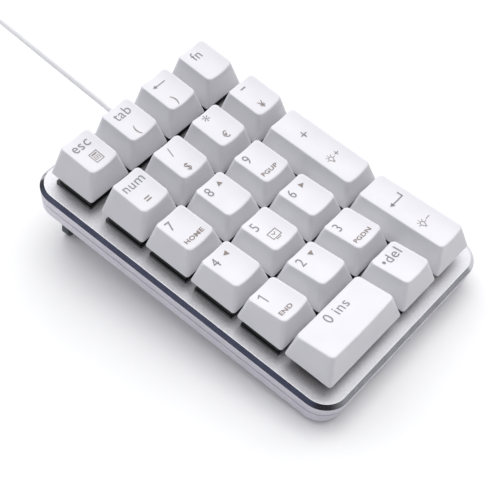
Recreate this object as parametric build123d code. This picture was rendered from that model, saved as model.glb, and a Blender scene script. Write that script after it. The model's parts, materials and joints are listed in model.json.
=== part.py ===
from build123d import *
import math
import os
from typing import NamedTuple

# Numeric keypad with a floating-key aluminium top, mechanical key switches, fold-out
# rear feet and a fixed USB lead. All sizes are in millimetres.
#
# The keypad is modelled level in its own case frame: x to the right, y from the front of
# the key grid to the back, and z = 0 on the top face of the aluminium plate. At the end it
# is tilted about x, as it stands on its opened rear feet, and set down on z = 0.

# ---- Key grid
KEY_PITCH = 19.05
COLUMNS = 4
ROWS = 6
TOP_ROW_GAP = 2.9           # extra space in front of the back row of keys
GRID_WIDTH = COLUMNS * KEY_PITCH
GRID_DEPTH = ROWS * KEY_PITCH + TOP_ROW_GAP
KEY_TRAVEL = 4.0

# ---- Case
PLATE_MARGIN = 3.3          # plate edge to the outer edge of the key grid
PLATE_THICKNESS = 1.5
CHAMFER = 1.4               # polished chamfer round the plate
WALL_DEPTH = 8.4            # drafted side wall under the chamfer
WALL_DRAFT = 1.0            # how far the side wall comes in over its depth
BOTTOM_BEVEL = 2.2
CORNER_RADIUS = 7.8         # of the plate's top face
PARTING_Z = -5.4            # where the top cover meets the bottom case
PARTING_GAP = 0.2
CASE_BOTTOM_Z = -(CHAMFER + WALL_DEPTH + BOTTOM_BEVEL)
COVER_WALL = 2.1
CASE_FLOOR = 1.8
LIP_THICKNESS = 1.0
LIP_HEIGHT = 1.2

# ---- Stance
TILT = 8.0                  # degrees that the rear is raised on the opened feet
FRONT_FOOT_Y = 7.0
FRONT_FOOT_X = 32.0
FRONT_FOOT_RADIUS = 4.0
FRONT_FOOT_HEIGHT = 1.3     # at its centre
FOOT_WIDTH = 11.0
FOOT_THICKNESS = 3.0
FOOT_TIP_RADIUS = 3.6
FOOT_LENGTH = 17.8          # from the pivot to the end of the tip
FOOT_AXIS_Y = 111.8
FOOT_AXIS_Z = -10.6
FOOT_CENTRE_X = 29.8
FOOT_PIN_RADIUS = 1.0
FOOT_PIN_LENGTH = 1.2
POCKET_CLEARANCE = 0.3
POCKET_WALL = 1.5
POCKET_ROOF_Z = -8.9

# ---- Circuit board and screws
BOARD_TOP_Z = -5.0
BOARD_THICKNESS = 1.6
BOARD_INSET = 0.3
SCREW_PLACES = [(0, KEY_PITCH), (-KEY_PITCH, 2 * KEY_PITCH), (KEY_PITCH, 2 * KEY_PITCH),
                (-KEY_PITCH, 96.7), (KEY_PITCH, 96.7)]
BOSS_RADIUS = 2.5
SCREW_RADIUS = 0.95
SCREW_HEAD_RADIUS = 1.9
SCREW_HEAD_HEIGHT = 1.2
SCREW_SEAT_Z = CASE_BOTTOM_Z + 1.4
SCREW_TIP_Z = -2.4
SCREW_CLEARANCE = 0.15
CROSS_RECESS = (2.2, 0.5)   # length and width of each bar of the screw's cross recess
CHIP = (10.0, 10.0, 1.2)    # the controller under the board
CHIP_Y = 50.0
SOCKET = (9.0, 5.0, 2.4)    # where the lead's wires are plugged in
SOCKET_Y = 88.5

# ---- Switch
SWITCH_BODY = 13.9
SWITCH_PINS = [(-3.8, -2.5), (2.5, -5.1)]
PIN_BOTTOM_Z = -7.6
PIN_HOLE_RADIUS = 0.7
LIGHT = (3.0, 2.0, 1.1)     # width, depth and height of the light under each switch
LIGHT_Y = 5.0
FLANGE_TOP_Z = 1.0
SWITCH_HOLE = 14.0
SWITCH_FLANGE = 15.6
SWITCH_TOP_Z = 6.6
COVER_BASE = 14.4
COVER_TOP = 9.8
WELL_X = 9.6
WELL_Y = 8.4
WELL_FLOOR_Z = -3.8
COVER_ROOF = 1.2
STEM_HOLE_X = 7.6
STEM_HOLE_Y = 6.2
STEM_NECK_TOP_Z = 6.0
CROSS_HEIGHT = 3.6
CROSS_LENGTH = 4.0
CROSS_ARM = 1.15
CENTRE_POST_RADIUS = 2.0
CENTRE_POST_BOTTOM_Z = -7.4
POLE_RADIUS = 1.05
SLEEVE_RADIUS = 1.8
SLEEVE_BORE = 1.25
SPRING_WIRE = 0.3
SPRING_RADIUS = 2.3
SPRING_TURNS = 5
SPRING_GAP = 0.01
SHOULDER = (8.4, 7.0, 4.0)  # the stem's part under the cover's roof
NECK = (7.2, 5.8)           # the stem's part in the roof's opening
POLE_BOTTOM_Z = -2.6
SLEEVE_TOP_Z = -1.2

# ---- Keycap
CAP_SIZE = 18.1
CAP_REST_Z = 5.6            # skirt edge above the plate, key up
CAP_WALL = 1.4
CAP_ROOF = 1.5
CAP_SIDE_INSET = 2.95
CAP_BOTTOM_CORNER = 1.0
CAP_TOP_CORNER = 1.7
DISH_DEPTH = 0.9
WIDE_DISH_DEPTH = 0.5
BOSS_OF_CAP = 2.45          # radius of the socket that a stem's cross fits
CAP_BOSS_Z = STEM_NECK_TOP_Z - CAP_REST_Z


class Profile(NamedTuple):
    """Heights of a keycap's top edges above its skirt edge, and how far they stand in."""
    front_z: float
    back_z: float
    front_inset: float
    back_inset: float


ROW_PROFILES = [            # from the back row to the front row
    Profile(10.3, 10.9, 3.0, 0.9),
    Profile(10.6, 11.2, 2.9, 1.3),
    Profile(8.9, 8.8, 3.0, 0.9),
    Profile(9.0, 8.0, 2.8, 0.9),
    Profile(9.8, 7.6, 3.1, 0.8),
    Profile(10.1, 7.6, 3.2, 0.8),
]

# ---- Stabilisers under the double-size keys
STABILISER_REACH = 11.94    # from the key's centre to each stabiliser stem
WIRE_RADIUS = 0.8
WIRE_AXIS_OFFSET = 8.2      # from the key's centre line to the wire's turning axis
WIRE_AXIS_Z = -3.6
WIRE_ARM = 7.3
WIRE_ANGLE = math.degrees(math.asin(KEY_TRAVEL / 2 / WIRE_ARM))
HOUSING_S = 6.8
HOUSING_T = 9.0
HOUSING_TOP_Z = 1.8
SLIDER_S = 4.8
SLIDER_T = 6.4
SLIDER_TOP_Z = 3.4
SLIDER_BOTTOM_Z = -3.9

# ---- USB lead
CABLE_RADIUS = 1.65
CABLE_EXIT_X = 5.4
CABLE_EXIT_Z = -7.9
RELIEF_LENGTH = 5.2
RELIEF_GAP = 0.45           # clears the drafted wall
RELIEF_NECK_RADIUS = 2.1
RELIEF_BASE_RADIUS = 3.2
RELIEF_TIP_RADIUS = 2.1
# The lead's way from the strain relief's tip, which stands where the tilted case has it,
# out behind the keypad and down to the coil, on the surface that the keypad stands on.
LEAD_ROUTE = [(6.7, 97.5, 26.0), (18.2, 150.0, 19.0), (28.0, 182.0, 6.8),
              (37.0, 206.0, 1.8), (40.0, 222.0, 1.8)]
COIL_CENTRE = (15.0, 222.0)
COIL_OUTER_TURN = 25.0
COIL_INNER_TURN = 12.6
COIL_LAYERS = 4
# from the top of the coil to the plug
TAIL_ROUTE = [(14.0, 246.8, 11.5), (4.0, 247.2, 8.6), (-4.0, 247.1, 4.9), (-11.0, 247.0, 4.0)]
PLUG_WIDTH = 16.0
PLUG_HEIGHT = 8.0
PLUG_TAIL = 6.0
PLUG_TAIL_TIP = 2.35
PLUG_TAIL_BASE = 3.4
PLUG_BODY = 21.0
PLUG_SHELL = 12.0
SHELL_WIDTH = 12.0
SHELL_HEIGHT = 4.5


class Key(NamedTuple):
    """A key's place and size in key units, and the profiles of the rows that it covers."""
    name: str
    column: int
    row: int                # from the front
    width: int
    depth: int
    front: int
    back: int

    def centre(self):
        gap = TOP_ROW_GAP if self.row == ROWS - 1 else 0
        x = (self.column + self.width / 2) * KEY_PITCH - GRID_WIDTH / 2
        y = (self.row + self.depth / 2) * KEY_PITCH + gap
        return x, y


KEYS = [
    Key("esc", 0, 5, 1, 1, 0, 0),
    Key("tab", 1, 5, 1, 1, 0, 0),
    Key("backspace", 2, 5, 1, 1, 0, 0),
    Key("fn", 3, 5, 1, 1, 0, 0),
    Key("num", 0, 4, 1, 1, 1, 1),
    Key("divide", 1, 4, 1, 1, 1, 1),
    Key("multiply", 2, 4, 1, 1, 1, 1),
    Key("minus", 3, 4, 1, 1, 1, 1),
    Key("7", 0, 3, 1, 1, 2, 2),
    Key("8", 1, 3, 1, 1, 2, 2),
    Key("9", 2, 3, 1, 1, 2, 2),
    Key("plus", 3, 2, 1, 2, 3, 2),
    Key("4", 0, 2, 1, 1, 3, 3),
    Key("5", 1, 2, 1, 1, 3, 3),
    Key("6", 2, 2, 1, 1, 3, 3),
    Key("1", 0, 1, 1, 1, 4, 4),
    Key("2", 1, 1, 1, 1, 4, 4),
    Key("3", 2, 1, 1, 1, 4, 4),
    Key("enter", 3, 0, 1, 2, 5, 4),
    Key("0", 0, 0, 2, 1, 5, 5),
    Key("decimal", 2, 0, 1, 1, 5, 5),
]


def block(x0, x1, y0, y1, z0, z1):
    """A box between two corners."""
    middle = Pos((x0 + x1) / 2, (y0 + y1) / 2, (z0 + z1) / 2)
    return middle * Box(x1 - x0, y1 - y0, z1 - z0)


def post(x, y, z0, z1, radius):
    """An upright cylinder between two heights."""
    return Pos(x, y, (z0 + z1) / 2) * Cylinder(radius, z1 - z0)


def slab(width, depth, radius, z0, z1, centre_y=GRID_DEPTH / 2):
    """A plate with rounded corners."""
    outline = Pos(0, centre_y, z0) * RectangleRounded(width, depth, radius)
    return extrude(outline, z1 - z0)


def as_solids(shape):
    return list(shape.solids())


# ---------------------------------------------------------------- case
TOP_WIDTH = GRID_WIDTH + 2 * PLATE_MARGIN
TOP_DEPTH = GRID_DEPTH + 2 * PLATE_MARGIN


def case_level(z, growth):
    """The case's outline at one height, grown from the plate's top face."""
    return Pos(0, GRID_DEPTH / 2, z) * RectangleRounded(
        TOP_WIDTH + 2 * growth, TOP_DEPTH + 2 * growth, CORNER_RADIUS + growth)


def case_body():
    levels = [
        case_level(0, 0),
        case_level(-CHAMFER, CHAMFER),
        case_level(-CHAMFER - WALL_DEPTH, CHAMFER - WALL_DRAFT),
        case_level(CASE_BOTTOM_Z, CHAMFER - WALL_DRAFT - BOTTOM_BEVEL),
    ]
    body = loft([levels[0], levels[1]], ruled=True)
    body += loft([levels[1], levels[2]], ruled=True)
    body += loft([levels[2], levels[3]], ruled=True)
    return body


COVER_INSIDE_WIDTH = TOP_WIDTH + 2 * CHAMFER - WALL_DRAFT - 2 * COVER_WALL
COVER_INSIDE_DEPTH = TOP_DEPTH + 2 * CHAMFER - WALL_DRAFT - 2 * COVER_WALL
TRAY_INSIDE_WIDTH = COVER_INSIDE_WIDTH - 2 * (LIP_THICKNESS + 0.1)
TRAY_INSIDE_DEPTH = COVER_INSIDE_DEPTH - 2 * (LIP_THICKNESS + 0.1)
INSIDE_CORNER = 6.0
BIG = 200.0


DOUBLE_KEYS = [key for key in KEYS if key.width * key.depth == 2]


def stabiliser_frame(key):
    """The frame of a double key's stabiliser: x along the wire, y towards the wire."""
    x, y = key.centre()
    turn = 0 if key.width == 2 else 90
    return Pos(x, y, 0) * Rot(0, 0, turn)


def make_top_cover(body):
    cover = body & block(-BIG, BIG, -BIG, BIG, PARTING_Z, 1)
    cover -= slab(COVER_INSIDE_WIDTH, COVER_INSIDE_DEPTH, INSIDE_CORNER,
                  PARTING_Z - 1, -PLATE_THICKNESS)
    for x, y in SCREW_PLACES:
        cover += post(x, y, BOARD_TOP_Z, -PLATE_THICKNESS, BOSS_RADIUS)
    cutters = []
    for x, y in SCREW_PLACES:
        cutters.append(post(x, y, BOARD_TOP_Z - 1, -PLATE_THICKNESS, SCREW_RADIUS + 0.05))
    for key in KEYS:
        cutters.append(Pos(*key.centre()) * Box(SWITCH_HOLE, SWITCH_HOLE, 3 * PLATE_THICKNESS))
    for key in DOUBLE_KEYS:
        for side in (-1, 1):
            hole = Box(HOUSING_S + 0.2, HOUSING_T + 0.2, 3 * PLATE_THICKNESS)
            cutters.append(stabiliser_frame(key) * Pos(side * STABILISER_REACH, 0, 0) * hole)
    cover -= cutters
    return cover


def foot_pocket(side):
    """The pocket that a rear foot folds into, and the wall round it."""
    x0 = side * FOOT_CENTRE_X - FOOT_WIDTH / 2 - POCKET_CLEARANCE
    x1 = side * FOOT_CENTRE_X + FOOT_WIDTH / 2 + POCKET_CLEARANCE
    y0 = FOOT_AXIS_Y - FOOT_LENGTH - POCKET_CLEARANCE
    y1 = FOOT_AXIS_Y + FOOT_THICKNESS / 2 + POCKET_CLEARANCE
    shell = block(x0 - POCKET_WALL, x1 + POCKET_WALL, y0 - POCKET_WALL, y1 + POCKET_WALL,
                  CASE_BOTTOM_Z + 1, POCKET_ROOF_Z + 1)
    space = block(x0, x1, y0, y1, CASE_BOTTOM_Z - 1, POCKET_ROOF_Z)
    pins = Pos(side * FOOT_CENTRE_X, FOOT_AXIS_Y, FOOT_AXIS_Z) * Rot(0, 90, 0) * Cylinder(
        FOOT_PIN_RADIUS + 0.05, x1 - x0 + 2 * (FOOT_PIN_LENGTH - 0.1))
    return shell, space, pins


def make_bottom_case(body):
    tray = body & block(-BIG, BIG, -BIG, BIG, CASE_BOTTOM_Z - 1, PARTING_Z - PARTING_GAP)
    lip = slab(COVER_INSIDE_WIDTH - 0.2, COVER_INSIDE_DEPTH - 0.2, INSIDE_CORNER - 0.1,
               PARTING_Z - PARTING_GAP - 1, PARTING_Z + LIP_HEIGHT)
    tray += lip
    tray -= slab(TRAY_INSIDE_WIDTH, TRAY_INSIDE_DEPTH, INSIDE_CORNER - 1,
                 CASE_BOTTOM_Z + CASE_FLOOR, PARTING_Z + LIP_HEIGHT + 1)
    floor_z = CASE_BOTTOM_Z + CASE_FLOOR
    for x, y in SCREW_PLACES:
        tray += post(x, y, floor_z - 0.5, BOARD_TOP_Z - BOARD_THICKNESS, BOSS_RADIUS)
    for side in (-1, 1):
        shell, space, pins = foot_pocket(side)
        tray += shell
        tray -= space
        tray -= pins
    for x, y in SCREW_PLACES:
        tray -= post(x, y, CASE_BOTTOM_Z - 1, BOARD_TOP_Z, SCREW_RADIUS + SCREW_CLEARANCE)
        tray -= post(x, y, CASE_BOTTOM_Z - 1, SCREW_SEAT_Z, SCREW_HEAD_RADIUS + SCREW_CLEARANCE)
    exit_hole = Rot(90, 0, 0) * Cylinder(RELIEF_NECK_RADIUS + 0.05, 12)
    tray -= Pos(CABLE_EXIT_X, GRID_DEPTH + PLATE_MARGIN, CABLE_EXIT_Z) * exit_hole
    return tray


def make_screws():
    length, width = CROSS_RECESS
    head_z = SCREW_SEAT_Z - SCREW_HEAD_HEIGHT
    recess = Box(length, width, SCREW_HEAD_HEIGHT) + Box(width, length, SCREW_HEAD_HEIGHT)
    screw = post(0, 0, head_z, SCREW_SEAT_Z, SCREW_HEAD_RADIUS)
    screw += post(0, 0, SCREW_SEAT_Z, SCREW_TIP_Z, SCREW_RADIUS)
    screw -= Pos(0, 0, head_z) * recess
    return [Pos(x, y) * screw for x, y in SCREW_PLACES]


def make_circuit_board():
    """The board, a light for each key under its switch, and the controller and socket."""
    z1 = BOARD_TOP_Z
    z0 = BOARD_TOP_Z - BOARD_THICKNESS
    board = slab(TRAY_INSIDE_WIDTH - 2 * BOARD_INSET, TRAY_INSIDE_DEPTH - 2 * BOARD_INSET,
                 INSIDE_CORNER - 1.3, z0, z1)
    cutters = []
    for x, y in SCREW_PLACES:
        cutters.append(post(x, y, z0 - 1, z1 + 1, SCREW_RADIUS + SCREW_CLEARANCE))
    lights = []
    for key in KEYS:
        x, y = key.centre()
        cutters.append(post(x, y, z0 - 1, z1 + 1, CENTRE_POST_RADIUS + 0.1))
        lights.append(Pos(x, y + LIGHT_Y, z1 + LIGHT[2] / 2) * Box(*LIGHT))
        for pin_x, pin_y in SWITCH_PINS:
            cutters.append(post(x + pin_x, y + pin_y, z0 - 1, z1 + 1, PIN_HOLE_RADIUS))
    room = SLIDER_S / 2 + 0.5
    for key in DOUBLE_KEYS:
        for side in (-1, 1):
            hole = block(-room, room, -SLIDER_T / 2 - 0.4, WIRE_AXIS_OFFSET - 1, z0 - 1, z1 + 1)
            cutters.append(stabiliser_frame(key) * Pos(side * STABILISER_REACH, 0, 0) * hole)
    board -= cutters
    chip = Pos(0, CHIP_Y, z0 - CHIP[2] / 2) * Box(*CHIP)
    socket = Pos(0, SOCKET_Y, z0 - SOCKET[2] / 2) * Box(*SOCKET)
    return as_solids(board) + lights + [chip, socket]


def stem_cross():
    """The cross on top of a stem that a keycap is pushed on to."""
    middle = Pos(0, 0, STEM_NECK_TOP_Z + CROSS_HEIGHT / 2)
    bars = Box(CROSS_LENGTH, CROSS_ARM, CROSS_HEIGHT) + Box(CROSS_ARM, CROSS_LENGTH, CROSS_HEIGHT)
    return middle * bars


def make_switch_parts():
    """One key switch: base with pins, cover, stem and spring, centred on the origin."""
    base = slab(SWITCH_BODY, SWITCH_BODY, 0.3, BOARD_TOP_Z, 0, 0)
    base += slab(SWITCH_FLANGE, SWITCH_FLANGE, 0.5, 0, FLANGE_TOP_Z, 0)
    base += post(0, 0, CENTRE_POST_BOTTOM_Z, BOARD_TOP_Z, CENTRE_POST_RADIUS)
    base -= block(-WELL_X / 2, WELL_X / 2, -WELL_Y / 2, WELL_Y / 2, WELL_FLOOR_Z, 2)
    base += post(0, 0, WELL_FLOOR_Z, SLEEVE_TOP_Z, SLEEVE_RADIUS)
    base -= post(0, 0, CENTRE_POST_BOTTOM_Z + 0.4, 2, SLEEVE_BORE)
    light_room = Box(LIGHT[0] + 0.4, LIGHT[1] + 0.4, 2 * LIGHT[2] + 0.1)
    base -= Pos(0, LIGHT_Y, BOARD_TOP_Z) * light_room
    pins = []
    for x, y in SWITCH_PINS:
        pins.append(block(x - 0.4, x + 0.4, y - 0.1, y + 0.1, PIN_BOTTOM_Z, BOARD_TOP_Z))

    low = Pos(0, 0, FLANGE_TOP_Z) * RectangleRounded(COVER_BASE, COVER_BASE, 0.8)
    high = Pos(0, 0, SWITCH_TOP_Z) * RectangleRounded(COVER_TOP, COVER_TOP, 0.8)
    cover = loft([low, high], ruled=True)
    roof_z = SWITCH_TOP_Z - COVER_ROOF
    well_top_z = FLANGE_TOP_Z + 0.6
    cover -= block(-WELL_X / 2, WELL_X / 2, -WELL_Y / 2, WELL_Y / 2, 0, well_top_z)
    wide = Pos(0, 0, well_top_z) * Rectangle(WELL_X, WELL_Y)
    tight = Pos(0, 0, roof_z) * Rectangle(WELL_X - 0.6, WELL_Y - 0.8)
    cover -= loft([wide, tight], ruled=True)
    cover -= Pos(0, 0, SWITCH_TOP_Z) * Box(STEM_HOLE_X, STEM_HOLE_Y, 4 * COVER_ROOF)

    shoulder_top = roof_z - 0.1
    shoulder = Pos(0, 0, shoulder_top - SHOULDER[2] / 2) * Box(*SHOULDER)
    neck_height = STEM_NECK_TOP_Z - shoulder_top
    neck = Pos(0, 0, STEM_NECK_TOP_Z - neck_height / 2) * Box(*NECK, neck_height)
    stem = shoulder + neck + stem_cross()
    spring_top = shoulder_top - 1.2
    stem -= post(0, 0, shoulder_top - SHOULDER[2] - 1, spring_top,
                 SPRING_RADIUS + SPRING_WIRE + 0.2)
    stem += post(0, 0, POLE_BOTTOM_Z, shoulder_top - 1, POLE_RADIUS)

    spring_bottom = WELL_FLOOR_Z + SPRING_WIRE + SPRING_GAP
    spring_height = spring_top - SPRING_WIRE - SPRING_GAP - spring_bottom
    coil = Helix(spring_height / SPRING_TURNS, spring_height, SPRING_RADIUS)
    section = Plane(origin=coil @ 0, z_dir=coil % 0) * Circle(SPRING_WIRE)
    spring = Pos(0, 0, spring_bottom) * sweep(section, path=coil, is_frenet=True)
    return base, pins, cover, stem, spring


# ---------------------------------------------------------------- keycaps
def make_keycap(width, depth, front, back):
    """A keycap centred on the origin with its skirt edge at z = 0."""
    size_x = CAP_SIZE + (width - 1) * KEY_PITCH
    size_y = CAP_SIZE + (depth - 1) * KEY_PITCH
    front_z = ROW_PROFILES[front].front_z
    back_z = ROW_PROFILES[back].back_z
    front_inset = ROW_PROFILES[front].front_inset
    back_inset = ROW_PROFILES[back].back_inset
    y_front = -size_y / 2 + front_inset
    y_back = size_y / 2 - back_inset
    slope = math.atan2(back_z - front_z, y_back - y_front)
    middle_y = (y_front + y_back) / 2
    middle_z = (front_z + back_z) / 2
    top_x = size_x - 2 * CAP_SIDE_INSET
    top_y = (y_back - y_front) / math.cos(slope)
    normal = (0, -math.sin(slope), math.cos(slope))

    def top_plane(drop):
        return Plane(origin=(0, middle_y, middle_z - drop), x_dir=(1, 0, 0), z_dir=normal)

    bottom = RectangleRounded(size_x, size_y, CAP_BOTTOM_CORNER)
    top = top_plane(0) * RectangleRounded(top_x, top_y, CAP_TOP_CORNER)
    cap = loft([bottom, top], ruled=True)
    dish_depth = DISH_DEPTH if width == 1 else WIDE_DISH_DEPTH
    chord = top_x / 2 - 0.2
    dish_radius = (chord ** 2 + dish_depth ** 2) / (2 * dish_depth)
    dish = Rot(90, 0, 0) * Cylinder(dish_radius, 3 * size_y)
    cap -= top_plane(0).location * Pos(0, 0, dish_radius - dish_depth) * dish

    inner_bottom = Rectangle(size_x - 2 * CAP_WALL, size_y - 2 * CAP_WALL)
    inner_top = top_plane(dish_depth + CAP_ROOF) * Rectangle(top_x - 2.6, top_y - 2.6)
    cap -= loft([inner_bottom, inner_top], ruled=True)

    boss_places = [(0, 0)]
    for side in (-1, 1):
        if width == 2:
            boss_places.append((side * STABILISER_REACH, 0))
        if depth == 2:
            boss_places.append((0, side * STABILISER_REACH))
    for x, y in boss_places:
        roof_z = middle_z + (y - middle_y) * math.tan(slope) - dish_depth - CAP_ROOF / 2
        cap += post(x, y, CAP_BOSS_Z, roof_z, BOSS_OF_CAP)
    for x, y in boss_places:
        socket_z = CAP_BOSS_Z + (CROSS_HEIGHT + 0.1) / 2
        slot = Box(CROSS_LENGTH + 0.1, CROSS_ARM + 0.1, CROSS_HEIGHT + 0.1)
        slot += Box(CROSS_ARM + 0.1, CROSS_LENGTH + 0.1, CROSS_HEIGHT + 0.1)
        cap -= Pos(x, y, socket_z) * slot
    return cap


# ---------------------------------------------------------------- stabilisers
def stabiliser_slider():
    slider = block(-SLIDER_S / 2, SLIDER_S / 2, -SLIDER_T / 2, SLIDER_T / 2,
                   SLIDER_BOTTOM_Z, SLIDER_TOP_Z)
    slider += block(-2.2, 2.2, -2.2, 2.2, SLIDER_TOP_Z, STEM_NECK_TOP_Z)
    slider += stem_cross()
    slot_z = WIRE_AXIS_Z + KEY_TRAVEL / 2
    slider -= block(-1.15, 1.15, 0, 4, slot_z - 1.6, slot_z + 1.6)
    return slider


def stabiliser_housing(side):
    """One housing on the board, with the ear that the wire turns in towards the key."""
    housing = block(-HOUSING_S / 2, HOUSING_S / 2, -HOUSING_T / 2, HOUSING_T / 2,
                    BOARD_TOP_Z, HOUSING_TOP_Z)
    ear_in = HOUSING_S / 2
    ear_out = 1.45
    ear = block(-ear_in, -ear_out, HOUSING_T / 2 - 1, WIRE_AXIS_OFFSET + 1.4, BOARD_TOP_Z, -2.3)
    housing += ear
    housing -= block(-SLIDER_S / 2 - 0.15, SLIDER_S / 2 + 0.15, -SLIDER_T / 2 - 0.15,
                     SLIDER_T / 2 + 0.15, BOARD_TOP_Z - 1, HOUSING_TOP_Z + 1)
    housing -= block(-1.2, 1.2, 0, HOUSING_T, BOARD_TOP_Z - 1, 0.2)
    bore = Pos(0, WIRE_AXIS_OFFSET, WIRE_AXIS_Z) * Rot(0, 90, 0) * Cylinder(WIRE_RADIUS + 0.1, 20)
    housing -= bore
    if side < 0:
        housing = mirror(housing, Plane.YZ)
    return housing


def stabiliser_wire():
    """The bent wire at rest: its arms rise to the stems."""
    reach = STABILISER_REACH
    axis = Pos(0, WIRE_AXIS_OFFSET, WIRE_AXIS_Z)
    rod = axis * Rot(0, 90, 0) * Cylinder(WIRE_RADIUS, 2 * reach)
    wire = rod
    for side in (-1, 1):
        tilt = Rot(-WIRE_ANGLE, 0, 0)
        knuckle = Sphere(WIRE_RADIUS)
        arm = tilt * Pos(0, -WIRE_ARM / 2, 0) * Rot(90, 0, 0) * Cylinder(WIRE_RADIUS, WIRE_ARM)
        wire += axis * Pos(side * reach, 0, 0) * (arm + knuckle)
    return wire


# ---------------------------------------------------------------- feet
FLOOR_Z_AT_FRONT_FOOT = CASE_BOTTOM_Z - FRONT_FOOT_HEIGHT


def under_the_floor():
    """Everything below the surface that the tilted keypad stands on."""
    deep = Pos(0, 0, -BIG) * Box(3 * BIG, 3 * BIG, 2 * BIG)
    return Pos(0, FRONT_FOOT_Y, FLOOR_Z_AT_FRONT_FOOT) * Rot(-TILT, 0, 0) * deep


def make_front_feet():
    feet = []
    for side in (-1, 1):
        pad = post(side * FRONT_FOOT_X, FRONT_FOOT_Y, CASE_BOTTOM_Z - 3, CASE_BOTTOM_Z,
                   FRONT_FOOT_RADIUS)
        feet.append(pad - under_the_floor())
    return feet


def make_tilt_foot(side):
    """A fold-out rear foot, opened straight down, with its two pivot pins."""
    half = FOOT_WIDTH / 2
    tip_z = FOOT_AXIS_Z - FOOT_LENGTH - 1
    outline = Plane.XZ * (Pos(0, (FOOT_AXIS_Z + tip_z) / 2) * Rectangle(
        FOOT_WIDTH, FOOT_AXIS_Z - tip_z))
    leg = Pos(0, FOOT_THICKNESS / 2, 0) * extrude(outline, FOOT_THICKNESS)
    barrel = Pos(0, 0, FOOT_AXIS_Z) * Rot(0, 90, 0) * Cylinder(FOOT_THICKNESS / 2, FOOT_WIDTH)
    pins = Pos(0, 0, FOOT_AXIS_Z) * Rot(0, 90, 0) * Cylinder(
        FOOT_PIN_RADIUS, FOOT_WIDTH + 2 * FOOT_PIN_LENGTH)
    foot = Pos(side * FOOT_CENTRE_X, FOOT_AXIS_Y, 0) * (leg + barrel + pins)
    foot -= under_the_floor()
    corners = []
    for edge in foot.edges():
        centre = edge.center()
        at_side = abs(abs(centre.X - side * FOOT_CENTRE_X) - half) < 0.01
        across = abs(edge.bounding_box().size.Y - FOOT_THICKNESS) < 0.01
        if at_side and across and centre.Z < FOOT_AXIS_Z - FOOT_LENGTH / 2:
            corners.append(edge)
    return fillet(corners, FOOT_TIP_RADIUS)


# ---------------------------------------------------------------- USB lead
def wall_y(z):
    """The outside of the rear wall at a height on the side wall."""
    return GRID_DEPTH + PLATE_MARGIN + CHAMFER - WALL_DRAFT * (-CHAMFER - z) / WALL_DEPTH


def make_strain_relief():
    """A short tapered boot in the rear wall, held by a collar inside."""
    outside = wall_y(CABLE_EXIT_Z)
    inside = GRID_DEPTH / 2 + TRAY_INSIDE_DEPTH / 2
    lying = Pos(CABLE_EXIT_X, 0, CABLE_EXIT_Z) * Rot(-90, 0, 0)
    neck = lying * post(0, 0, inside, outside, RELIEF_NECK_RADIUS)
    taper = lying * Pos(0, 0, outside + RELIEF_GAP + RELIEF_LENGTH / 2) * Cone(
        RELIEF_BASE_RADIUS, RELIEF_TIP_RADIUS, RELIEF_LENGTH)
    throat = lying * post(0, 0, outside - 1, outside + 1, RELIEF_NECK_RADIUS)
    collar = block(CABLE_EXIT_X - 3.5, CABLE_EXIT_X + 3.5, inside - 1.2, inside,
                   CASE_BOTTOM_Z + CASE_FLOOR + 0.1, BOARD_TOP_Z - BOARD_THICKNESS - 0.1)
    return neck + throat + taper + collar


def tube(points, radius):
    """A cord along straight runs joined by arcs as large as the runs allow."""
    path_points = [Vector(*point) for point in points]
    radii = []
    for before, corner, after in zip(path_points, path_points[1:], path_points[2:]):
        turn = (corner - before).get_angle(after - corner)
        shorter = min((corner - before).length, (after - corner).length)
        radii.append(0.45 * shorter / math.tan(math.radians(turn / 2)))
    path = FilletPolyline(*path_points, radius=radii)
    section = Plane(origin=path @ 0, z_dir=path % 0) * Circle(radius)
    cord = sweep(section, path=path)
    print("cord radii", [round(r, 1) for r in radii], "length", round(path.length, 1),
          "volume", round(cord.volume, 1), "of", round(path.length * math.pi * radius ** 2, 1))
    return cord


def make_coil():
    """The outer shape of the lead's put-away turns."""
    x, y = COIL_CENTRE
    height = COIL_LAYERS * 2 * CABLE_RADIUS
    ring = post(x, y, 0, height, COIL_OUTER_TURN + CABLE_RADIUS)
    ring -= post(x, y, -1, height + 1, COIL_INNER_TURN - CABLE_RADIUS)
    return fillet(ring.edges(), CABLE_RADIUS * 0.9)


def make_plug():
    """The overmoulded plug with its metal shell and contact tongue, on its flat side."""
    x, y, z = TAIL_ROUTE[-1]
    lying = Pos(x, y, z) * Rot(0, -90, 0)
    tail = lying * Pos(0, 0, PLUG_TAIL / 2) * Cone(PLUG_TAIL_TIP, PLUG_TAIL_BASE, PLUG_TAIL)
    body = Pos(x - PLUG_TAIL - PLUG_BODY / 2, y, z) * Box(PLUG_BODY, PLUG_WIDTH, PLUG_HEIGHT)
    body = fillet(body.edges().filter_by(Axis.X), 2.0)
    shell_x = x - PLUG_TAIL - PLUG_BODY - PLUG_SHELL / 2
    shell = Pos(shell_x, y, z) * Box(PLUG_SHELL, SHELL_WIDTH, SHELL_HEIGHT)
    shell -= Pos(shell_x - 0.5, y, z) * Box(PLUG_SHELL, SHELL_WIDTH - 0.7, SHELL_HEIGHT - 0.7)
    tongue = Pos(shell_x - 0.4, y, z + 0.9) * Box(PLUG_SHELL - 1.2, SHELL_WIDTH - 1.0, 1.8)
    return [body + tail, shell, tongue]


# ---------------------------------------------------------------- build the keypad, level
body = case_body()
pieces = {}
pieces["top_cover"] = as_solids(make_top_cover(body))
pieces["bottom_case"] = as_solids(make_bottom_case(body))
pieces["circuit_board"] = make_circuit_board()
pieces["case_screws"] = make_screws()
pieces["front_feet"] = make_front_feet()
pieces["tilt_foot_left"] = [make_tilt_foot(-1)]
pieces["tilt_foot_right"] = [make_tilt_foot(1)]

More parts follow.
